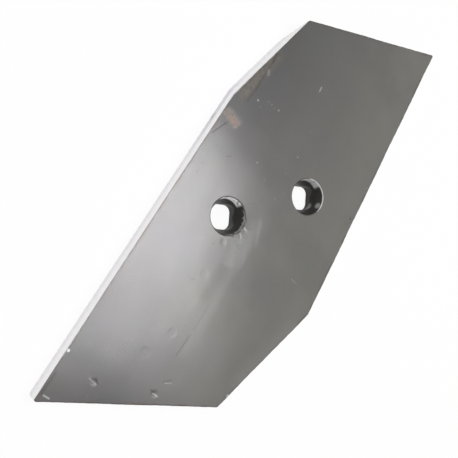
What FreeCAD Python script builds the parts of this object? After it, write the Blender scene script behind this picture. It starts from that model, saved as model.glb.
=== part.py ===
# Ploughshare point: a flat sheared plate with two countersunk square bolt holes
# and an underside bevel at each short end. Millimetres, +Z up, face upward.
# The origin lies on the underside, midway between the two bolt holes.
import FreeCAD, Part
import math
import os

V = FreeCAD.Vector

# Plate
plate_thickness = 15.0
face_arris_radius = 0.8
blunt_corner_radius = 2.5
tip_corner_radius = 1.2

# Face outline, corner by corner, as (along, across) from the origin.
# The long edges run nearly along X. The fore end is at +X, the aft end at -X.
fore_shoulder = (120.0, 44.0)
fore_tip = (173.5, -51.5)
aft_bend = (-41.5, -64.0)
aft_shoulder = (-122.5, -39.0)
aft_tip = (-171.0, 60.0)
fore_bend = (42.5, 60.0)

# The wall along the cut corner at the fore end leans out towards the underside.
fore_cut_draft = 1.6

# Underside bevels: how far each runs in from its end edge, and the land left above it
fore_bevel_run = 13.0
fore_bevel_land = 1.4
aft_bevel_run = 7.0
aft_bevel_land = 6.0

# Bolt seats
bolt_pitch_along = 44.2
bolt_pitch_across = -40.6
seat_mouth_diameter = 25.0
seat_mouth_break = 0.6
seat_half_angle = 22.5
neck_square = 16.0
neck_corner_radius = 5.0

# The flats of the square neck stand turned from the long edges, in degrees.
neck_turn = 30.0

# Length by which cutting shapes pass through the plate
overrun = 5.0

# Distance within which an edge counts as lying on a corner or on the face
finding_reach = 0.01


def point(place, height=0.0):
    return V(place[0], place[1], height)


def line_through(place, direction):
    """A plan line as one of its points and its unit direction."""
    length = math.hypot(direction[0], direction[1])
    return place, (direction[0] / length, direction[1] / length)


def crossing(first, second):
    """The plan point where two lines meet."""
    (ax, ay), (ux, uy) = first
    (bx, by), (vx, vy) = second
    along = ((bx - ax) * vy - (by - ay) * vx) / (ux * vy - uy * vx)
    return ax + along * ux, ay + along * uy


def edge_line(start, end, outward=0.0):
    """The line of one outline edge, moved outward. The outline runs clockwise."""
    place, (ux, uy) = line_through(start, (end[0] - start[0], end[1] - start[1]))
    return (place[0] - uy * outward, place[1] + ux * outward), (ux, uy)


def edge_length(start, end):
    return math.hypot(end[0] - start[0], end[1] - start[1])


def slanted_cutter(start, end, inset_below, inset_at_face):
    """What lies outside a slanting plane along one outline edge.

    The plane runs inset_below in from the edge at the underside and inset_at_face in
    from it at the face. A negative inset lies outside the edge.
    """
    place, (ux, uy) = edge_line(start, end)
    along = V(ux, uy, 0.0)
    inward = V(uy, -ux, 0.0)
    lean = (inset_at_face - inset_below) / plate_thickness
    low = -overrun
    high = plate_thickness + overrun
    origin = point(place) - along * plate_thickness
    outside = origin - inward * (plate_thickness + overrun)
    section = [
        origin + inward * (inset_below + lean * low) + V(0, 0, low),
        origin + inward * (inset_below + lean * high) + V(0, 0, high),
        outside + V(0, 0, high),
        outside + V(0, 0, low),
    ]
    face = Part.Face(Part.makePolygon(section + section[:1]))
    return face.extrude(along * (edge_length(start, end) + 2 * plate_thickness))


def bevel_cutter(start, end, run, land):
    """The underside bevel at one end edge, which leaves the land above it."""
    lean = run / (plate_thickness - land)
    return slanted_cutter(start, end, run, -lean * land)


def underside_outline():
    """The six corners at the underside, where the drafted wall stands further out."""
    cut_line = edge_line(fore_bend, fore_shoulder, fore_cut_draft)
    low_bend = crossing(edge_line(aft_tip, fore_bend), cut_line)
    low_shoulder = crossing(cut_line, edge_line(fore_shoulder, fore_tip))
    return [low_shoulder, fore_tip, aft_bend, aft_shoulder, aft_tip, low_bend]


def standing_edges(solid, places):
    """The upright edges of a prism that stand on any of the given plan points."""
    feet = [point(place) for place in places]
    found = []
    for edge in solid.Edges:
        ends = sorted((v.Point for v in edge.Vertexes), key=lambda p: p.z)
        is_upright = ends[-1].z - ends[0].z > plate_thickness / 2
        if is_upright and min(ends[0].distanceToPoint(foot) for foot in feet) < finding_reach:
            found.append(edge)
    return found


def plate_blank():
    """The sheared plate with rounded corners, before its bevels and seats."""
    outline = underside_outline()
    corners = [point(place) for place in outline]
    floor = Part.Face(Part.makePolygon(corners + corners[:1]))
    blank = floor.extrude(V(0, 0, plate_thickness))
    tips = [fore_tip, aft_tip]
    blunt = [place for place in outline if place not in tips]
    blank = blank.makeFillet(tip_corner_radius, standing_edges(blank, tips))
    blank = blank.makeFillet(blunt_corner_radius, standing_edges(blank, blunt))
    low_bend, low_shoulder = outline[5], outline[0]
    return blank.cut(slanted_cutter(low_bend, low_shoulder, 0.0, fore_cut_draft))


def neck_prism():
    """The square bolt neck's hole, with well rounded corners, turned about the origin."""
    half = neck_square / 2
    prism = Part.makeBox(neck_square, neck_square, plate_thickness + 2 * overrun,
                         V(-half, -half, -overrun))
    standing = [e for e in prism.Edges if e.BoundBox.ZLength > plate_thickness]
    prism = prism.makeFillet(neck_corner_radius, standing)
    prism.rotate(V(0, 0, 0), V(0, 0, 1), neck_turn)
    return prism


def head_cone():
    """The bolt head's seat about the origin, with a broken rim at the face."""
    mouth = seat_mouth_diameter / 2
    throat = mouth - seat_mouth_break
    cone_depth = throat / math.tan(math.radians(seat_half_angle))
    lip = plate_thickness - seat_mouth_break
    profile = [
        V(0, 0, plate_thickness + overrun),
        V(mouth + overrun, 0, plate_thickness + overrun),
        V(throat, 0, lip),
        V(0, 0, lip - cone_depth),
    ]
    face = Part.Face(Part.makePolygon(profile + profile[:1]))
    return face.revolve(V(0, 0, 0), V(0, 0, 1), 360)


def bolt_seats():
    """Both seats, half the pitch to either side of the origin."""
    seat = neck_prism().fuse(head_cone())
    seats = []
    for side in (-1, 1):
        placed = seat.copy()
        placed.translate(V(side * bolt_pitch_along / 2, side * bolt_pitch_across / 2, 0))
        seats.append(placed)
    return seats


def face_outline_edges(solid):
    """The edges around the face, without the rims of the bolt seats."""
    top = [e for e in solid.Edges if e.BoundBox.ZMin > plate_thickness - finding_reach]
    reach = seat_mouth_diameter
    outline = []
    for edge in top:
        centre = edge.BoundBox.Center
        beside_seat = any(
            math.hypot(centre.x - side * bolt_pitch_along / 2,
                       centre.y - side * bolt_pitch_across / 2) < reach / 2
            for side in (-1, 1))
        if not beside_seat:
            outline.append(edge)
    return outline


def share_point():
    blank = plate_blank()
    fore_bevel = bevel_cutter(fore_shoulder, fore_tip, fore_bevel_run, fore_bevel_land)
    aft_bevel = bevel_cutter(aft_shoulder, aft_tip, aft_bevel_run, aft_bevel_land)
    solid = blank.cut([fore_bevel, aft_bevel] + bolt_seats())
    solid = solid.Solids[0]
    return solid.makeFillet(face_arris_radius, face_outline_edges(solid))


os.makedirs("parts", exist_ok=True)
part = share_point()
part.exportStep("parts/share_point.step")
box = part.BoundBox
print("valid", part.isValid(), "solids", len(part.Solids), "volume", round(part.Volume, 1))
print("box", [round(x, 2) for x in (box.XMin, box.XMax, box.YMin, box.YMax, box.ZMin, box.ZMax)])
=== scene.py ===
"""Looks of the ploughshare point: the sheared plate with its worn edges, its finishes, lamps and camera.

Lengths are written in millimetres, as on the drawing, and MM turns them into metres.
The plate lies on the floor on its underside, with its face up.
"""
import math

import bmesh
import bpy
import numpy as np
from mathutils import Matrix, Vector


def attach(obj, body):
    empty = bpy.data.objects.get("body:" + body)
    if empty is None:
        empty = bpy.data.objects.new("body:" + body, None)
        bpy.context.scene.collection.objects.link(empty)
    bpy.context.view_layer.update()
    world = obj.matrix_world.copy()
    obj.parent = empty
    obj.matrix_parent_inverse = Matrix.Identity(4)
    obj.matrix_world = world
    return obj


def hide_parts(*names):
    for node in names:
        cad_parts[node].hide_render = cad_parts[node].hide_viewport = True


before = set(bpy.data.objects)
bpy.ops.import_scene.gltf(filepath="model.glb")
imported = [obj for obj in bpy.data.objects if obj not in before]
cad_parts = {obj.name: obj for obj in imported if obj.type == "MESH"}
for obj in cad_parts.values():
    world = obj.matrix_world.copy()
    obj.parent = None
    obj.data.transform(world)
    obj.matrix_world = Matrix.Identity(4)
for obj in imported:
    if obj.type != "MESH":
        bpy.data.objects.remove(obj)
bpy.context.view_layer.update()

MM = 0.001

# Plate, as in the source of the part
PLATE_THICKNESS = 15.0
CORNERS = {
    "fore_shoulder": (120.0, 44.0),
    "fore_tip": (173.5, -51.5),
    "aft_bend": (-41.5, -64.0),
    "aft_shoulder": (-122.5, -39.0),
    "aft_tip": (-171.0, 60.0),
    "fore_bend": (42.5, 60.0),
}
CORNER_RADII = {"fore_tip": 1.2, "aft_tip": 1.2}
BLUNT_RADIUS = 2.5
ARRIS_RADIUS = 0.8
FORE_CUT_DRAFT = 1.6

# Underside bevels. The aft one is shown smaller than the solid's: in view it hardly cuts the tip's wall.
BEVELS = [
    {"edge": ("fore_shoulder", "fore_tip"), "run": 13.0, "land": 1.4},
    {"edge": ("aft_shoulder", "aft_tip"), "run": 2.0, "land": 11.5},
]

# Bolt seats, as in the source of the part
SEATS = [(-22.1, 20.3), (22.1, -20.3)]
MOUTH_RADIUS = 12.5
MOUTH_BREAK = 0.6
HEAD_HALF_ANGLE = math.radians(22.5)
NECK_HALF = 8.0
NECK_CORNER = 5.0
NECK_TURN = math.radians(30.0)

# The ragged side of each mouth, how deep it is torn, and the angle that one tooth takes up
CHEWED_SIDE = math.radians(-97.0)
CHEWED_REACH = math.radians(48.0)
CHEWED_DEPTHS = [1.1, 0.25]
TOOTH_ANGLE = 0.42

# Wear of the sheared edges: the roll that is left of the drawn one, and how much it wanders
ARRIS_KEENNESS = 0.68
ARRIS_WEAR = 0.38
KEENEST_ARRIS = 0.3
EDGE_PLAY = 0.06
WALL_TEAR = 0.25
LONG_EDGE_WEAR = 0.15
LONG_EDGE_FADE = 15.0

# Lengths of the waves in which that wear comes and goes along an edge
LONG_WAVE = 61.0
SHORT_WAVE = 7.0
TEAR_WAVE = 5.3

# Waves of the noise: the height and the shortening of each against the last, and their height in all
WAVE_HEIGHT = 0.6
WAVE_SHORTENING = 1.9
WAVE_TOTAL = 2.3

# Largest arris: its share of a corner's radius, its growth away from it, its share of a thin edge
ARRIS_SHARE = 0.7
ARRIS_GROWTH = 0.3
THIN_EDGE_SHARE = 0.6

# Spacing of the surface's rows and columns
COLUMN_STEP = 1.1
CORNER_COLUMNS = 6
EVENING = 0.45
RIM_CROWDING = 1.7
FACE_ROWS = 34
UNDERSIDE_ROWS = 14
BEVEL_ROWS = 5
NECK_ROWS = 7
CONE_ROWS = 6
MOUTH_ROWS = 2
ARRIS_ROWS = 4
WALL_ROWS = 9
FOOT_ROUNDS = 4

# Points nearer than this are one, and a crease sharper than this stays sharp
WELD_DISTANCE = 0.002
SHARP_ANGLE = math.radians(28)

# Finishes, in the order of the plate's material slots
LACQUERED_FACE, SHEARED_WALL, SEAT_BORE, UNDERSIDE = range(4)


def unit(vectors):
    """Vectors shortened or stretched to a length of one."""
    return vectors / np.linalg.norm(vectors, axis=-1, keepdims=True)


def wave_noise(x, longest, seed, octaves=5):
    """Sines of random phase added up, each shorter and lower than the last: noise within about -1..1."""
    rng = np.random.default_rng(seed)
    total = np.zeros_like(x)
    for octave in range(octaves):
        phase = rng.uniform(0, 2 * np.pi)
        wave = np.sin(2 * np.pi * x * WAVE_SHORTENING ** octave / longest + phase)
        total += WAVE_HEIGHT ** octave * wave
    return total / WAVE_TOTAL


def bevel_planes():
    """For each bevel: a point of its end edge, the way inward from it, its run and its depth."""
    planes = []
    for bevel in BEVELS:
        start, end = (np.array(CORNERS[name]) for name in bevel["edge"])
        along = unit(end - start)
        inward = np.array([along[1], -along[0]])
        planes.append((start, inward, bevel["run"], PLATE_THICKNESS - bevel["land"]))
    return planes


def underside_height(plan):
    """Height of the underside over the floor: nil, rising in a straight slope towards a bevelled end."""
    height = np.zeros(plan.shape[:-1])
    for start, inward, run, depth in bevel_planes():
        height = np.maximum(height, depth * (1 - (plan - start) @ inward / run))
    return height


def outline_path():
    """The face outline walked clockwise: a straight run in equal steps, then an arc, at each corner.

    Gives the plan points, their outward normals, the length walked, and for each point how
    much it belongs to the drafted wall, how far the worn long edge has sunk there, and the
    largest arris that its corner leaves room for.
    """
    names = list(CORNERS)
    corners = np.array(list(CORNERS.values()))
    heading = unit(np.roll(corners, -1, axis=0) - corners)
    left = np.stack([-heading[:, 1], heading[:, 0]], axis=1)
    turns = np.arccos(np.sum(heading * np.roll(heading, 1, axis=0), axis=1))
    radii = np.array([CORNER_RADII.get(name, BLUNT_RADIUS) for name in names])
    setback = radii * np.tan(turns / 2)
    points, normals, drafted, sunk, room = [], [], [], [], []
    for i, name in enumerate(names):
        after = (i + 1) % len(names)
        was_cut = 1.0 if names[i - 1] == "fore_bend" else 0.0
        angles = np.linspace(0, turns[i], CORNER_COLUMNS + 1)[:-1]
        before = left[i - 1]
        turned = np.stack([before[0] * np.cos(angles) + before[1] * np.sin(angles),
                           before[1] * np.cos(angles) - before[0] * np.sin(angles)], axis=1)
        centre = corners[i] - heading[i - 1] * setback[i] - before * radii[i]
        points.append(centre + turned * radii[i])
        normals.append(turned)
        drafted.append(was_cut * (1 - angles / turns[i]))
        sunk.append(np.full(len(angles), 1.0 if name in ("aft_tip", "fore_bend") else 0.0))
        room.append(np.full(len(angles), ARRIS_SHARE * radii[i]))
        first = corners[i] + heading[i] * setback[i]
        last = corners[after] - heading[i] * setback[after]
        steps = max(2, int(np.linalg.norm(last - first) / COLUMN_STEP))
        share = np.arange(steps)[:, None] / steps
        points.append(first + (last - first) * share)
        normals.append(np.repeat(left[i][None], steps, axis=0))
        distance = share[:, 0] * np.linalg.norm(last - first)
        grown = np.minimum(1.0, (distance + setback[i]) * np.tan(turns[i]) / FORE_CUT_DRAFT)
        drafted.append(grown if name == "fore_bend" else np.zeros(steps))
        left_over = share[::-1, 0] * np.linalg.norm(last - first)
        fades = {
            "aft_tip": (2 * share[:, 0] - 1) ** 2,
            "aft_shoulder": np.maximum(0.0, 1 - left_over / LONG_EDGE_FADE) ** 2,
            "fore_bend": np.maximum(0.0, 1 - distance / LONG_EDGE_FADE) ** 2,
        }
        sunk.append(fades.get(name, np.zeros(steps)))
        room.append(ARRIS_SHARE * np.minimum(radii[i] + ARRIS_GROWTH * distance,
                                             radii[after] + ARRIS_GROWTH * left_over))
    points, normals = np.concatenate(points), np.concatenate(normals)
    walked = np.cumsum(np.linalg.norm(points - np.roll(points, 1, axis=0), axis=1))
    return points, normals, walked, *map(np.concatenate, (drafted, sunk, room))


def wall_grid():
    """The rolled arris and the sheared wall, as a profile carried along the outline.

    The arris is a quarter circle whose radius wanders along the edge. Below it the wall drops
    straight, or leans out where it is drafted, with a torn surface that grows rougher downwards.
    Where the long edge has sunk, only its arris has: the wall's foot keeps its place. The foot's
    height depends on how far the wall has leaned out, so both are settled in a few rounds.
    Rows run from the face's rim to the underside's rim.
    """
    plan, normal, walked, drafted, sunk, room = outline_path()
    wander = wave_noise(walked, LONG_WAVE, 3) + 0.5 * wave_noise(walked, SHORT_WAVE, 4)
    land = PLATE_THICKNESS - underside_height(plan)
    radius = ARRIS_RADIUS * (ARRIS_KEENNESS + ARRIS_WEAR * wander)
    radius = np.clip(radius, KEENEST_ARRIS, np.minimum(THIN_EDGE_SHARE * land, room))
    plan = plan - normal * (EDGE_PLAY * (1 + wander))[:, None]
    plan[:, 1] -= LONG_EDGE_WEAR * sunk
    angle = np.linspace(0, np.pi / 2, ARRIS_ROWS)[:, None]
    inset = radius * (1 - np.sin(angle))
    height = PLATE_THICKNESS - radius * (1 - np.cos(angle))
    arris = np.dstack([plan[None] - normal[None] * inset[..., None], height])

    lean = FORE_CUT_DRAFT * drafted / PLATE_THICKNESS
    foot = underside_height(plan)
    for _ in range(FOOT_ROUNDS):
        foot = underside_height(plan + normal * (lean * (PLATE_THICKNESS - foot))[:, None])
    depth = np.linspace(0, 1, WALL_ROWS + 1)[1:, None]
    top = PLATE_THICKNESS - radius
    level = top + (foot - top) * depth
    torn = WALL_TEAR * depth * (1 + wave_noise(walked[None] + 3.0 * level, TEAR_WAVE, 8)) / 2
    offset = lean * (PLATE_THICKNESS - level) - torn
    wall = np.dstack([plan[None] + normal[None] * offset[..., None], level])
    wall[..., 1] += LONG_EDGE_WEAR * sunk * depth
    wall[-1, :, 2] = underside_height(wall[-1, :, :2])
    return np.concatenate([arris, wall])


def neck_radius(angle):
    """Distance from the bolt's axis to the square neck's wall, with its corners rounded.

    On a flat it is the neck's half width over the cosine of the angle from the flat's middle.
    On a corner it is the far crossing of the ray with the corner's circle.
    """
    across = np.sort(np.abs(np.stack([np.cos(angle - NECK_TURN), np.sin(angle - NECK_TURN)])), axis=0)
    flat = NECK_HALF / across[1]
    centre = NECK_HALF - NECK_CORNER
    toward = centre * (across[0] + across[1])
    corner = toward + np.sqrt(np.maximum(0, toward ** 2 - 2 * centre ** 2 + NECK_CORNER ** 2))
    return np.where(flat * across[0] <= centre, flat, corner)


def chewed_rim(angle, depth):
    """Radius of the mouth's rim, with noise added on the side where stones have torn it.

    The noise is full near that side's middle and dies out towards both its ends.
    """
    away = np.abs(np.angle(np.exp(1j * (angle - CHEWED_SIDE)))) / CHEWED_REACH
    torn = np.clip(1.15 - away, 0, 1) ** 0.7
    teeth = wave_noise(angle, TOOTH_ANGLE, 21, 4) + 0.1
    return MOUTH_RADIUS + depth * torn * teeth


def seat_grid(seat, face_rim, under_rim, chewed_depth):
    """Half of the plate round one bolt seat, as a profile turned about the bolt's axis.

    Each column is the section from the underside's rim in to the square neck, up its wall, out
    over the cone and the broken mouth, and over the face to the face's rim. The cone starts
    where it meets the neck, so it is scalloped by the four flats. The columns are evened out in
    part round the axis, and the face's rows crowd towards its rim.
    """
    seat = np.array(seat)
    aim = face_rim[:, :2] - seat
    angle = np.unwrap(np.arctan2(aim[:, 1], aim[:, 0]))
    even = angle[0] - np.arange(len(angle)) * 2 * np.pi / len(angle)
    angle = angle + EVENING * (even - angle - np.mean(even - angle))
    ray = np.stack([np.cos(angle), np.sin(angle)], axis=1)
    neck = neck_radius(angle)
    throat = MOUTH_RADIUS - MOUTH_BREAK
    lip = PLATE_THICKNESS - MOUTH_BREAK
    step = np.linspace(0, 1, NECK_ROWS + 1)[:, None]

    def ring(radius, height):
        radius, height, _ = np.broadcast_arrays(radius, height, angle)
        return np.dstack([seat + ray * radius[..., None], height])

    foot = seat + ray * neck[:, None]
    crease = np.ones(len(angle))
    for start, inward, run, _ in bevel_planes():
        near, far = (foot - start) @ inward, (under_rim[:, :2] - start) @ inward
        crossing = (near - run) / np.maximum(near - far, 1e-9)
        crease = np.where(far < run, np.minimum(crease, crossing), crease)
    flat_rows = np.linspace(0, 1, UNDERSIDE_ROWS)[:, None] * crease
    slope_rows = crease + np.linspace(0, 1, BEVEL_ROWS)[1:, None] * (1 - crease)
    out = np.concatenate([flat_rows, slope_rows])[..., None]
    plan = foot + (under_rim[:, :2] - foot) * out
    underside = np.dstack([plan, underside_height(plan)])
    underside[-1] = under_rim

    cone_foot = lip - (throat - neck) / math.tan(HEAD_HALF_ANGLE)
    neck_wall = ring(neck, cone_foot * step)
    widen = np.linspace(0, 1, CONE_ROWS + 1)[:, None]
    cone = ring(neck + (throat - neck) * widen, cone_foot + (lip - cone_foot) * widen)
    mouth_step = np.linspace(0, 1, MOUTH_ROWS + 1)[:, None]
    rim = chewed_rim(angle, chewed_depth)
    mouth = ring(throat + (rim - throat) * mouth_step, lip + MOUTH_BREAK * mouth_step)
    reach = np.linspace(0, 1, FACE_ROWS)[:, None, None]
    reach = 1 - (1 - reach) ** RIM_CROWDING
    edge = seat + ray * rim[:, None]
    plan = edge + (face_rim[:, :2] - edge) * reach
    face = np.dstack([plan, np.full(plan.shape[:2], PLATE_THICKNESS)])
    face[-1] = face_rim
    return [(underside[::-1], UNDERSIDE), (neck_wall, SEAT_BORE), (cone, SEAT_BORE),
            (mouth, LACQUERED_FACE), (face, LACQUERED_FACE)]


def half_rims(wall):
    """The two rims of each half of the plate: the wall's own, closed by a straight run between seats.

    Both halves share the points of that run, so they join without a gap.
    """
    rims = wall[[0, -1]]
    between = np.array(SEATS[1]) - np.array(SEATS[0])
    beyond = rims[0, :, :2] @ between > 0
    first = np.flatnonzero(beyond & ~np.roll(beyond, 1))[0]
    rims = np.roll(rims, -first, axis=1)
    beyond = np.roll(beyond, -first)
    count = int(beyond.sum())
    corner, other = rims[:, :1], rims[:, count:count + 1]
    steps = int(np.linalg.norm(corner[0, 0] - other[0, 0]) / (2 * COLUMN_STEP))
    share = np.arange(1, steps)[None, :, None] / steps
    run = other + (corner - other) * share
    fore = np.concatenate([rims[:, :count + 1], run], axis=1)
    aft = np.concatenate([rims[:, count:], corner, run[:, ::-1]], axis=1)
    return [aft, fore]


def grid_quads(rows, columns):
    """Corner numbers of the faces of a grid whose last column joins its first."""
    low = np.arange(rows - 1)[:, None] * columns + np.arange(columns)
    nxt = np.arange(rows - 1)[:, None] * columns + (np.arange(columns) + 1) % columns
    return np.stack([low, nxt, nxt + columns, low + columns], axis=-1).reshape(-1, 4)


def rim_distance(plan):
    """Distance of plan points from the nearest side of the outline, in millimetres."""
    corners = np.array(list(CORNERS.values()))
    heading = unit(np.roll(corners, -1, axis=0) - corners)
    inward = np.stack([heading[:, 1], -heading[:, 0]], axis=1)
    return np.min(plan @ inward.T - np.sum(corners * inward, axis=1), axis=1)


def plate_piece(finishes):
    """The whole plate as one closed surface: its wall, and the sections round both seats."""
    wall = wall_grid()
    grids = [(wall[:ARRIS_ROWS], LACQUERED_FACE), (wall[ARRIS_ROWS - 1:], SHEARED_WALL)]
    for seat, (face_rim, under_rim), depth in zip(SEATS, half_rims(wall), CHEWED_DEPTHS):
        grids += seat_grid(seat, face_rim, under_rim, depth)
    points, quads, slots, count = [], [], [], 0
    for grid, slot in grids:
        faces = grid_quads(*grid.shape[:2])
        points.append(grid.reshape(-1, 3))
        quads.append(faces + count)
        slots.append(np.full(len(faces), slot))
        count += grid.shape[0] * grid.shape[1]
    mesh = bpy.data.meshes.new("worn_share_point")
    mesh.from_pydata(np.concatenate(points) * MM, [], np.concatenate(quads).tolist())
    mesh.polygons.foreach_set("material_index", np.concatenate(slots).astype(np.int32))
    work = bmesh.new()
    work.from_mesh(mesh)
    bmesh.ops.remove_doubles(work, verts=work.verts, dist=WELD_DISTANCE * MM)
    bmesh.ops.recalc_face_normals(work, faces=work.faces)
    work.to_mesh(mesh)
    work.free()
    mesh.shade_smooth()
    mesh.set_sharp_from_angle(angle=SHARP_ANGLE)
    spots = np.empty(len(mesh.vertices) * 3, dtype=np.float32)
    mesh.vertices.foreach_get("co", spots)
    near = rim_distance(spots.reshape(-1, 3)[:, :2] / MM)
    mesh.attributes.new("rim_distance", "FLOAT", "POINT").data.foreach_set("value", near)
    for finish in finishes:
        mesh.materials.append(finish)
    piece = bpy.data.objects.new("worn_share_point", mesh)
    bpy.context.collection.objects.link(piece)
    return piece


class Socket:
    """A value, colour or shader that a node gives out; arithmetic on a value adds Math nodes."""

    def __init__(self, nodes, end):
        self.nodes, self.end = nodes, end

    def _math(self, operation, first, second=0.0):
        return self.nodes.node("ShaderNodeMath", {"operation": operation}, {0: first, 1: second})

    def __add__(self, other):
        return self._math("ADD", self, other)

    def __radd__(self, other):
        return self._math("ADD", other, self)

    def __sub__(self, other):
        return self._math("SUBTRACT", self, other)

    def __rsub__(self, other):
        return self._math("SUBTRACT", other, self)

    def __mul__(self, other):
        return self._math("MULTIPLY", self, other)

    def __rmul__(self, other):
        return self._math("MULTIPLY", other, self)

    def __truediv__(self, other):
        return self._math("DIVIDE", self, other)

    def __pow__(self, other):
        return self._math("POWER", self, other)

    def __abs__(self):
        return self._math("ABSOLUTE", self)

    def sine(self):
        """The sine of the value as an angle."""
        return self._math("SINE", self)

    def at_most(self, other):
        """The smaller of both values."""
        return self._math("MINIMUM", self, other)

    def at_least(self, other):
        """The larger of both values."""
        return self._math("MAXIMUM", self, other)

    def rise(self, low, high):
        """Nil below low and one above high, with a smooth step between; falls where low is above high."""
        settings = {"interpolation_type": "SMOOTHSTEP"}
        if low < high:
            ends = {"To Min": 0.0, "To Max": 1.0}
        else:
            low, high, ends = high, low, {"To Min": 1.0, "To Max": 0.0}
        sockets = {"Value": self, "From Min": low, "From Max": high, **ends}
        return self.nodes.node("ShaderNodeMapRange", settings, sockets)


class Nodes:
    """The nodes of a material or a world, from an empty start to what shows on the surface."""

    def __init__(self, owner, output):
        owner.use_nodes = True
        self.tree = owner.node_tree
        self.tree.nodes.clear()
        self.output = self.tree.nodes.new(output)

    def show(self, shader):
        """Makes a shader the one that shows."""
        self.feed(self.output.inputs["Surface"], shader)

    def node(self, kind, settings=None, sockets=None, out=0):
        """Adds a node: its settings first, then the values or links of its sockets."""
        node = self.tree.nodes.new(kind)
        for name, value in (settings or {}).items():
            setattr(node, name, value)
        for name, value in (sockets or {}).items():
            self.feed(node.inputs[name], value)
        return Socket(self, node.outputs[out])

    def feed(self, socket, value):
        """Links a socket to a worked-out value, or sets it to a plain number or colour."""
        if isinstance(value, Socket):
            self.tree.links.new(value.end, socket)
        elif socket.type == "RGBA" and len(value) == 3:
            socket.default_value = (*value, 1.0)
        else:
            socket.default_value = value


class Finish(Nodes):
    """A material made of nodes, with the surface's place in millimetres."""

    def __init__(self, name):
        self.material = bpy.data.materials.new(name)
        super().__init__(self.material, "ShaderNodeOutputMaterial")
        self.shader = self.tree.nodes.new("ShaderNodeBsdfPrincipled")
        self.surface = Socket(self, self.shader.outputs[0])
        self.show(self.surface)
        metres = self.node("ShaderNodeTexCoord", out="Object")
        self.place = self.node("ShaderNodeVectorMath", {"operation": "SCALE"},
                               {0: metres, "Scale": 1 / MM})
        self.x, self.y, self.z = (
            self.node("ShaderNodeSeparateXYZ", {}, {0: self.place}, out=axis) for axis in "XYZ")

    def set(self, **values):
        """Sets sockets of the surface shader, named with low lines for spaces."""
        for name, value in values.items():
            self.feed(self.shader.inputs[name.replace("_", " ")], value)

    def attribute(self, name):
        """A number that the mesh keeps at its points."""
        return self.node("ShaderNodeAttribute", {"attribute_name": name}, out="Fac")

    def noise(self, length, detail, place=None, out="Fac"):
        """Cloudy noise whose lumps are about the given length."""
        sockets = {"Vector": place or self.place, "Scale": 1 / length, "Detail": detail, "Roughness": 0.5}
        return self.node("ShaderNodeTexNoise", {}, sockets, out=out)

    def stretched(self, along, across, turn_degrees):
        """The place stretched along one direction of the plate, for streaks."""
        sockets = {"Vector": self.place, "Rotation": (0.0, 0.0, math.radians(turn_degrees)),
                   "Scale": (along, across, across)}
        return self.node("ShaderNodeMapping", {"vector_type": "TEXTURE"}, sockets)

    def blend(self, first, second, share, kind="MIX"):
        """Mixes two colours by a share from nil to one."""
        settings = {"data_type": "RGBA", "blend_type": kind}
        return self.node("ShaderNodeMix", settings, {0: share, 6: first, 7: second}, out=2)

    def bump(self, height):
        """Turns a height in millimetres into a bent normal."""
        sockets = {"Height": height, "Distance": MM, "Strength": 1.0}
        self.set(Normal=self.node("ShaderNodeBump", {}, sockets, out="Normal"))

    def distance(self, centre):
        """Distance from a point of the plate."""
        settings, sockets = {"operation": "DISTANCE"}, {0: self.place, 1: centre}
        return self.node("ShaderNodeVectorMath", settings, sockets, out="Value")

    def spot(self, centre, radius, soft):
        """One inside a round spot of the face, falling to nil over a soft rim."""
        return self.distance((*centre, PLATE_THICKNESS)).rise(radius + soft, radius)

    def reach(self, seat):
        """Distance from a bolt's axis."""
        dx, dy = self.x - seat[0], self.y - seat[1]
        return (dx * dx + dy * dy) ** 0.5

    def facing(self, seat, side):
        """Cosine of the angle, seen from a bolt's axis, between a side and the surface's place."""
        dx, dy = self.x - seat[0], self.y - seat[1]
        return (dx * math.cos(side) + dy * math.sin(side)) / self.reach(seat)

    def scratch(self, start, end, half_width):
        """One along a straight line between two plan points, fading to its sides and ends."""
        length = math.dist(start, end)
        ux, uy = (end[0] - start[0]) / length, (end[1] - start[1]) / length
        along = self.x * ux + self.y * uy - (start[0] * ux + start[1] * uy)
        aside = self.x * uy - self.y * ux - (start[0] * uy - start[1] * ux)
        middle = 1.0 - abs(along / (length / 2) - 1.0)
        return abs(aside).rise(half_width, 0.0) * middle.rise(0.0, 0.35)


# Painted highlights of the seats: the lit side of each cone, where a painted highlight band lies, how
# that band leans and how bright it is, the side of the fore mouth whose rim carries a painted glint, and
# painted glints as place and size
LIT_CONE_SIDE = math.radians(20.0)
LIT_BAND_LEAN = math.radians(-52.0)
CONE_HIGHLIGHTS = (1.0, 0.50)
# Side of the fore mouth whose rim carries a painted glint
GLINTING_RIM_SIDE = math.radians(-40.0)
# Painted glints in the fore bore: place and size of each bright spot
BORE_GLINT_SPOTS = [((21.3, -28.6, 5.7), 3.2), ((22.9, -31.4, 12.3), 3.0)]

# Colours of the face: its lacquer, what has been worn, scratched or rusted into it, and the painted
# highlights and sheen on its arris, its fore mouth's rim and its valley
COOL_LACQUER = (0.129, 0.1255, 0.1275)
WARM_LACQUER = (0.226, 0.219, 0.201)
CLOUDED_LACQUER = (0.09, 0.088, 0.085)
FORE_LACQUER = (0.200, 0.197, 0.193)
TIP_LACQUER = (0.170, 0.160, 0.158)
PALE_LACQUER = (0.280, 0.270, 0.262)
HAIR_SCRATCH = (0.30, 0.30, 0.30)
HATCHING = (0.03, 0.03, 0.032)
WORN_BROWN = (0.115, 0.080, 0.070)
KHAKI = (0.24, 0.205, 0.155)
KHAKI_SHADE = (0.055, 0.050, 0.045)
GOUGE = (0.03, 0.03, 0.03)
# Pale steel of the scrapes, also used for the painted sheen along the valley
SCRAPED_STEEL_AND_SHEEN = (0.62, 0.63, 0.64)
PALE_RUST = (0.33, 0.235, 0.175)
RED_RUST = (0.39, 0.225, 0.17)
# Worn bare steel of the arris, which also stands for the painted highlight of the lit edges
BARE_ARRIS_AND_GLINT = (0.66, 0.65, 0.66)
# Painted highlight: the glint on the fore mouth's broken rim
RIM_GLINT = (0.75, 0.75, 0.75)

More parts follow.
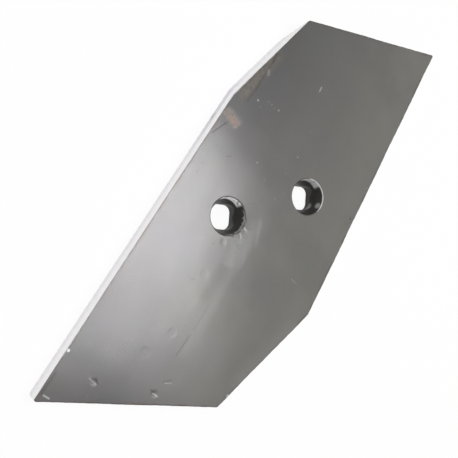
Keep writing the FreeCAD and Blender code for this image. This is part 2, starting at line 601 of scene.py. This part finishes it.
# Colours of the sheared walls
BRIGHT_SHEAR = (0.93, 0.925, 0.93)
TORN_STEEL = (0.86, 0.845, 0.87)
BLUE_TEAR = (0.66, 0.64, 0.69)
DULL_GRAIN = (0.60, 0.58, 0.60)
DARK_NICK = (0.14, 0.14, 0.15)

# Colours of the bores and the underside; the near black of the bores is painted shade, and the brightest
# is a painted glint
SHADED_BORE = (0.028, 0.027, 0.025)
DUSTY_SHADED_BORE = (0.052, 0.050, 0.047)
SCUFFED_CONE = (0.30, 0.30, 0.30)
# Painted highlight: the colour of the glints in the fore bore
BORE_GLINT = (0.36, 0.36, 0.36)
DARK_UNDERSIDE = (0.12, 0.118, 0.115)
PALE_UNDERSIDE = (0.17, 0.167, 0.163)

# Share of warm lacquer at the origin, and its growth for each millimetre along and across
WARM_SHARE = 0.42
WARM_ALONG = 0.0012
WARM_ACROSS = -0.011

# Width of the soft rims of specks and dents
SPECK_SOFTNESS = 0.45
DENT_SOFTNESS = 2.0

# Fine scratches all over the face, as direction in degrees, length, width and lowest peak
HAIR_SCRATCHES = [(12.0, 26.0, 0.35, 0.66), (-58.0, 20.0, 0.3, 0.68), (71.0, 16.0, 0.3, 0.68)]

# Marks on the face, as start, end, half width and strength, or centre, radius and strength or depth
DARK_MARKS = [
    ((12.0, 58.6), (27.0, 53.0), 0.7, 0.80),
    ((7.2, 42.6), (10.0, 38.9), 0.5, 0.55),
    ((-94.0, 1.2), (-111.5, 2.4), 0.9, 0.42),
    ((-72.0, 0.9), (-94.0, 1.0), 0.9, 0.20),
    ((-122.3, -4.7), (-126.8, 1.6), 0.5, 0.45),
    ((-144.3, 37.2), (-146.4, 33.4), 0.7, 0.65),
    ((-133.9, 5.8), (-134.5, 1.2), 0.8, 0.50),
    ((-150.0, 58.0), (-168.0, 58.4), 1.2, 0.35),
    ((-66.0, 17.0), (-67.5, 19.8), 0.6, 0.35),
    ((-41.2, 18.2), (-42.4, 20.2), 0.6, 0.45),
    ((29.0, -57.0), (31.0, -56.0), 0.6, 0.60),
    ((-8.9, 14.5), (-3.6, 8.2), 0.4, 0.22),
    ((-19.5, 7.9), (-15.9, 8.3), 0.6, 0.50),
    ((-31.6, 10.9), (-29.2, 8.4), 0.6, 0.45),
    ((-35.4, 16.4), (-41.2, 12.6), 1.3, 0.13),
    ((-33.6, 12.8), (-38.8, 9.2), 1.5, 0.13),
    ((-6.1, 53.1), (-4.9, 51.7), 0.8, 0.35),
    ((-12.5, 53.2), (-11.1, 52.0), 0.8, 0.30),
    ((9.0, 52.2), (9.4, 49.8), 0.6, 0.30),
    ((1.4, 6.1), (-2.8, 6.7), 0.5, 0.28),
]
LIGHT_MARKS_AND_SHEEN = [
    ((-165.3, 57.6), (-165.4, 52.4), 0.8, 0.62),
    ((-126.9, -0.2), (-124.3, -5.2), 0.6, 0.26),
    ((-145.6, 41.0), (-147.0, 34.4), 0.8, 0.24),
    ((-135.0, 3.2), (-135.2, -1.8), 0.6, 0.50),
    ((84.9, 11.4), (89.6, 11.8), 0.8, 0.62),
    ((-29.4, -39.0), (-29.8, -45.4), 0.4, 0.30),
    # Those with a half width of 2.6 or more, along the valley near y 0 to 7, are painted sheen of its
    # reflection; the narrower ones are scrapes
    ((-11.0, 4.8), (-46.7, -4.4), 4.5, 0.05),
    ((-27.0, 6.8), (-50.0, 2.9), 6.0, 0.11),
    ((-37.2, 14.4), (-37.7, 13.9), 0.6, 0.14),
    ((68.0, 47.2), (72.5, 49.6), 1.9, 0.22),
    ((-9.5, 0.9), (-28.2, -7.0), 2.6, 0.07),
    ((-20.5, 4.5), (-33.0, 4.0), 3.0, 0.07),
    ((-70.0, 6.0), (-112.0, 4.0), 9.0, 0.03),
]
LIGHT_SPOTS = [
    ((50.6, 44.3), 0.45, 0.60), ((54.9, 37.6), 0.20, 0.22), ((54.9, 34.9), 0.30, 0.28),
    ((53.8, 32.3), 0.25, 0.22), ((54.9, 29.0), 0.45, 0.32), ((17.6, 22.6), 0.35, 0.35),
    ((38.8, 0.6), 0.35, 0.28), ((-138.9, 58.9), 0.7, 0.70), ((-113.3, -41.4), 0.8, 0.60),
    ((59.0, 1.0), 0.3, 0.15), ((24.5, 2.0), 0.3, 0.15), ((48.0, 40.5), 0.2, 0.2),
    ((6.3, -0.7), 0.4, 0.12), ((11.7, 12.2), 0.4, 0.10), ((55.7, -56.7), 0.5, 0.15),
]
DENTS = [
    ((-146.2, 36.6), 0.8, 0.04), ((-134.8, 1.6), 0.8, 0.05), ((-37.2, 14.2), 0.8, 0.02),
    ((-100.0, 12.0), 1.5, 0.02), ((-118.0, 20.0), 2.0, 0.02), ((-60.0, 14.0), 1.5, 0.015),
]


def hair_scratches(finish, turn_degrees, length, width, lowest):
    """Fine streaks that all run one way: noise drawn out along them and cut to its peaks."""
    streak = finish.noise(1.0, 1.0, place=finish.stretched(length, width, turn_degrees))
    return streak.rise(lowest, lowest + 0.10)


def face_marks(finish, tone):
    """Adds the single scratches, gouges and specks to the face's colour, and the wide faint light smears
    that are painted sheen along the valley.
    """
    for start, end, half_width, strength in DARK_MARKS:
        tone = finish.blend(tone, GOUGE, finish.scratch(start, end, half_width) * strength)
    light = 0.0
    for start, end, half_width, strength in LIGHT_MARKS_AND_SHEEN:
        light = finish.scratch(start, end, half_width) * strength + light
    for centre, radius, strength in LIGHT_SPOTS:
        light = finish.spot(centre, radius, SPECK_SOFTNESS) * strength + light
    light = (light * finish.noise(1.1, 2.0).rise(0.25, 0.50)).at_most(1.0)
    return finish.blend(tone, SCRAPED_STEEL_AND_SHEEN, light)


def face_finish():
    """Dark satin lacquer that pales and warms towards one long edge, with its scratches and rust.

    The hatching near the aft end is a sine along the plate, so that its lines run across it, and
    noise bends them.
    """
    finish = Finish("lacquered_steel")
    x, y = finish.x, finish.y
    cloud = finish.noise(34.0, 4.0)
    fine = finish.noise(3.0, 3.0)
    warm = (y * WARM_ACROSS + x * WARM_ALONG + WARM_SHARE).at_least(0.0).at_most(1.0)
    tone = finish.blend(COOL_LACQUER, WARM_LACQUER, warm)
    tint = finish.blend(finish.noise(26.0, 2.0, out="Color"), (1.0, 1.0, 1.0), 0.86)
    tone = finish.blend(tone, tint, 0.5, "MULTIPLY")

    hairs = 0.0
    for scratches in HAIR_SCRATCHES:
        hairs = hair_scratches(finish, *scratches) + hairs
    hatched = finish.spot((-129.0, 31.0), 9.0, 20.0) * finish.noise(5.0, 2.0).rise(0.38, 0.62)
    hatch = (x * 3.27 - y * 0.46 + 6.0 * cloud + 2.0 * fine).sine().rise(-0.2, 0.9) * hatched
    rim = finish.attribute("rim_distance")
    worn_rim = rim.rise(2.4, 0.6) * finish.noise(7.0, 4.0).rise(0.42, 0.60)
    by_tip = finish.spot((-160.0, 52.0), 6.0, 22.0)
    by_flank = finish.scratch((-112.0, -43.0), (-48.0, -62.0), 13.0)
    fore_part = x.rise(0.0, 60.0) * y.rise(-25.0, 10.0)
    khaki = finish.scratch((40.0, 55.0), (92.0, 48.5), 6.5) * fine.rise(0.25, 0.60)
    shade = finish.scratch((43.0, 50.3), (60.0, 49.2), 1.6)
    shade = shade + finish.scratch((52.0, 49.3), (88.0, 50.0), 1.5)
    layers = [
        (CLOUDED_LACQUER, cloud.rise(0.62, 0.35) * 0.16),
        (HAIR_SCRATCH, hairs.at_most(1.0) * 0.14),
        (HATCHING, hatch * 0.11),
        (WORN_BROWN, worn_rim * 0.50),
        (TIP_LACQUER, by_tip * 0.40),
        (PALE_LACQUER, by_flank * 0.42),
        (FORE_LACQUER, fore_part * 0.20),
        (KHAKI, khaki * 0.50),
        (KHAKI_SHADE, shade.at_most(1.0) * 0.36),
    ]
    for colour, share in layers:
        tone = finish.blend(tone, colour, share)
    tone = face_marks(finish, tone)

    patch = finish.scratch((31.8, 60.4), (27.4, 44.4), 6.6)
    rust = patch * patch * fine.rise(0.15, 0.60)
    core = finish.scratch((29.6, 55.5), (27.9, 47.4), 2.3)
    # Worn bare steel on the arris, painted only along the lit long edge and fore cut, so that it is also
    # a painted highlight of those edges
    arris = finish.z.rise(14.99, 14.82)
    lit_edges = y.rise(42.0, 46.0) * x.rise(-152.0, -130.0) * x.rise(106.0, 88.0)
    bare_and_glint = arris * lit_edges * fine.rise(0.10, 0.45)
    # Painted highlight: a bright line on the fore mouth's broken rim, on the side that catches the light
    fore_mouth = finish.reach(SEATS[1]).rise(15.0, 14.0)
    rim_glint = arris * fore_mouth * finish.facing(SEATS[1], GLINTING_RIM_SIDE).rise(0.30, 0.55)
    for colour, share in [(PALE_RUST, rust * 0.38), (RED_RUST, core * 0.30),
                          (BARE_ARRIS_AND_GLINT, bare_and_glint * 0.68), (RIM_GLINT, rim_glint * 0.75)]:
        tone = finish.blend(tone, colour, share)

    # Rust, bare arris and the painted rim glint all take away the lacquer's metal look
    unlacquered_and_glint = (0.6 * rust + bare_and_glint + rim_glint).at_most(1.0)
    rough = 0.17 + 0.08 * fine * finish.noise(14.0, 3.0) + 0.25 * rust
    finish.set(Base_Color=tone, Metallic=0.5 * (1.0 - unlacquered_and_glint), Roughness=rough)
    dents = 0.0
    for centre, radius, depth in DENTS:
        dents = finish.spot(centre, radius, DENT_SOFTNESS) * depth + dents
    valley = finish.scratch((-118.0, 1.6), (4.0, 2.6), 8.0)
    waves = 0.010 * finish.noise(0.9, 2.0) + 0.28 * finish.noise(60.0, 2.0)
    finish.bump(waves - dents - 0.03 * valley)
    return finish.material


def wall_finish():
    """Bare sheared steel: bright near the face, duller and faintly blue where it tore off below."""
    finish = Finish("bare_sheared_steel")
    x, y, z = finish.x, finish.y, finish.z
    grain = finish.noise(1.0, 3.0, place=finish.stretched(5.0, 1.2, 0.0))
    torn = (z + 5.0 * grain).rise(10.5, 8.0)
    near_bend = x.rise(-10.0, 22.0) * x.rise(64.0, 44.0)
    nick = x.rise(25.2, 26.4) * x.rise(31.0, 29.8) * z.rise(3.4, 2.2) * y.rise(50.0, 52.0)
    tone = finish.blend(BRIGHT_SHEAR, TORN_STEEL, torn)
    tone = finish.blend(tone, BLUE_TEAR, near_bend * torn * 0.75)
    tone = finish.blend(tone, DULL_GRAIN, grain.rise(0.60, 0.75) * 0.25)
    tone = finish.blend(tone, DARK_NICK, nick * grain.rise(0.35, 0.55) * 0.9)
    finish.set(Base_Color=tone, Metallic=0.0, Roughness=0.5)
    finish.bump(0.03 * grain)
    return finish.material


def seat_finish():
    """The dark glossy bores, painted near black as their shade, with a painted highlight band on the lit
    side of each cone.
    """
    finish = Finish("dark_seat_bore")
    # Painted shade: the bores are painted near black for the shade inside them, varied with dusty noise
    tone = finish.blend(SHADED_BORE, DUSTY_SHADED_BORE, finish.noise(3.0, 4.0))
    streak = finish.noise(2.2, 3.0)
    # Painted highlight: a bright band on the lit side of each cone, where the light falls on it
    for seat, shine in zip(SEATS, CONE_HIGHLIGHTS):
        height = finish.z + 2.4 * finish.facing(seat, LIT_BAND_LEAN)
        lit_band = finish.facing(seat, LIT_CONE_SIDE).rise(0.70, 0.86) * height.rise(11.6, 12.8)
        lit_band = lit_band * finish.reach(seat).rise(20.0, 15.0) * streak.rise(0.20, 0.50)
        tone = finish.blend(tone, (shine, shine, shine), lit_band * 0.95)
    torn_top = (finish.z + 4.0 * finish.noise(1.7, 3.0)).rise(14.9, 15.4)
    aft_mouth = finish.reach(SEATS[0]).rise(15.0, 14.0)
    scuffed = finish.facing(SEATS[0], CHEWED_SIDE).rise(0.40, 0.75) * torn_top * aft_mouth
    tone = finish.blend(tone, SCUFFED_CONE, scuffed * 0.9)
    # Painted highlights: two bright glints on the fore bore's wall and cone
    for centre, size in BORE_GLINT_SPOTS:
        spot = finish.distance(centre).rise(size, 0.3 * size)
        tone = finish.blend(tone, BORE_GLINT, spot * 0.8)
    finish.set(Base_Color=tone, Metallic=0.0, Roughness=0.45, Specular_IOR_Level=0.2)
    return finish.material


def underside_finish():
    """The same lacquer on the underside, duller and evenly clouded."""
    finish = Finish("lacquered_underside")
    tone = finish.blend(DARK_UNDERSIDE, PALE_UNDERSIDE, finish.noise(30.0, 4.0))
    finish.set(Base_Color=tone, Metallic=0.4, Roughness=0.45)
    return finish.material


# Floor: its width, its depth below the plate, and the share of plain white that the camera sees
FLOOR_SIZE = 6000.0
FLOOR_DROP = 0.05
FLOOR_GLOW = 0.92


def white_floor():
    """A white floor that shows as plain white to the camera, with part of its shadow kept."""
    finish = Finish("white_floor")
    finish.set(Base_Color=(0.92, 0.92, 0.92), Roughness=0.9)
    camera_ray, glossy_ray, clear_ray = (
        finish.node("ShaderNodeLightPath", out=kind)
        for kind in ("Is Camera Ray", "Is Glossy Ray", "Is Transmission Ray"))
    seen = (camera_ray + glossy_ray + clear_ray).at_most(1.0)
    sockets = {0: seen * FLOOR_GLOW, 1: finish.surface, 2: finish.node("ShaderNodeEmission")}
    finish.show(finish.node("ShaderNodeMixShader", {}, sockets))
    bpy.ops.mesh.primitive_plane_add(size=FLOOR_SIZE * MM)
    floor = bpy.context.object
    floor.name = "studio_floor"
    floor.location.z = -FLOOR_DROP * MM
    floor.data.materials.append(finish.material)


# Camera, fitted to the plate's corners and the mouths of its seats in the photograph
CAMERA_PLACE = (-135.5, 160.0, 370.0)
CAMERA_AIM = (-28.3, 15.4, 14.8)
CAMERA_UP = (0.822, 0.569, 0.015)
CAMERA_LENS = 50.87
CAMERA_NEAR = 10.0
SENSOR_WIDTH = 36.0

# Lamps: discs of light side by side and overlapping, as place, radius and radiance
LAMP_HEIGHT = 1000.0
LAMPS = [((129.0, -86.0), 334.0, 3.5), ((238.0, -186.0), 187.0, 3.0), ((-15.0, -380.0), 148.0, 1.5)]

# Low lamp for the walls of the long edge and the fore cut, as radius and radiance
SIDE_LAMP_PLACE = (-250.0, 1000.0, 260.0)
SIDE_LAMP = (250.0, 2.4)

# Sky: its colour, and the share of it that lights the plate and shows in the plate's gloss
SKY_GREY = (0.8, 0.8, 0.8)
SKY_STRENGTH = 0.68


def camera():
    """The camera at the photograph's place, aimed and turned as fitted."""
    data = bpy.data.cameras.new("camera")
    data.lens, data.sensor_width, data.sensor_fit = CAMERA_LENS, SENSOR_WIDTH, "HORIZONTAL"
    data.clip_start = CAMERA_NEAR * MM
    back = (Vector(CAMERA_PLACE) - Vector(CAMERA_AIM)).normalized()
    right = Vector(CAMERA_UP).cross(back).normalized()
    up = back.cross(right)
    turn = Matrix((right, up, back)).transposed().to_4x4()
    viewer = bpy.data.objects.new("camera", data)
    viewer.matrix_world = Matrix.Translation(Vector(CAMERA_PLACE) * MM) @ turn
    bpy.context.collection.objects.link(viewer)
    bpy.context.scene.camera = viewer


def softbox(name, place, aim, radius, radiance):
    """A round softbox lamp of even brightness, facing a point."""
    data = bpy.data.lights.new(name, "AREA")
    data.shape, data.size = "DISK", 2 * radius * MM
    data.energy = radiance * math.pi ** 2 * (radius * MM) ** 2
    lamp = bpy.data.objects.new(name, data)
    lamp.location = Vector(place) * MM
    lamp.rotation_euler = (Vector(place) - Vector(aim)).to_track_quat("Z", "Y").to_euler()
    bpy.context.collection.objects.link(lamp)


def sky():
    """A pale grey surround: the camera sees it in full, and it lights the plate at a share of that."""
    world = bpy.data.worlds.new("studio")
    bpy.context.scene.world = world
    nodes = Nodes(world, "ShaderNodeOutputWorld")
    seen = nodes.node("ShaderNodeLightPath", out="Is Camera Ray")
    strength = SKY_STRENGTH + (1.0 - SKY_STRENGTH) * seen
    nodes.show(nodes.node("ShaderNodeBackground", {}, {"Color": SKY_GREY, "Strength": strength}))


point = plate_piece([face_finish(), wall_finish(), seat_finish(), underside_finish()])
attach(point, "root")
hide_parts("share_point")
white_floor()
camera()
for number, (place, radius, radiance) in enumerate(LAMPS, 1):
    softbox(f"softbox_{number}", (*place, LAMP_HEIGHT - number), (*place, 0.0), radius, radiance)
softbox("side_softbox", SIDE_LAMP_PLACE, (0.0, 0.0, 0.0), *SIDE_LAMP)
sky()
bpy.context.scene.view_settings.view_transform = "Standard"
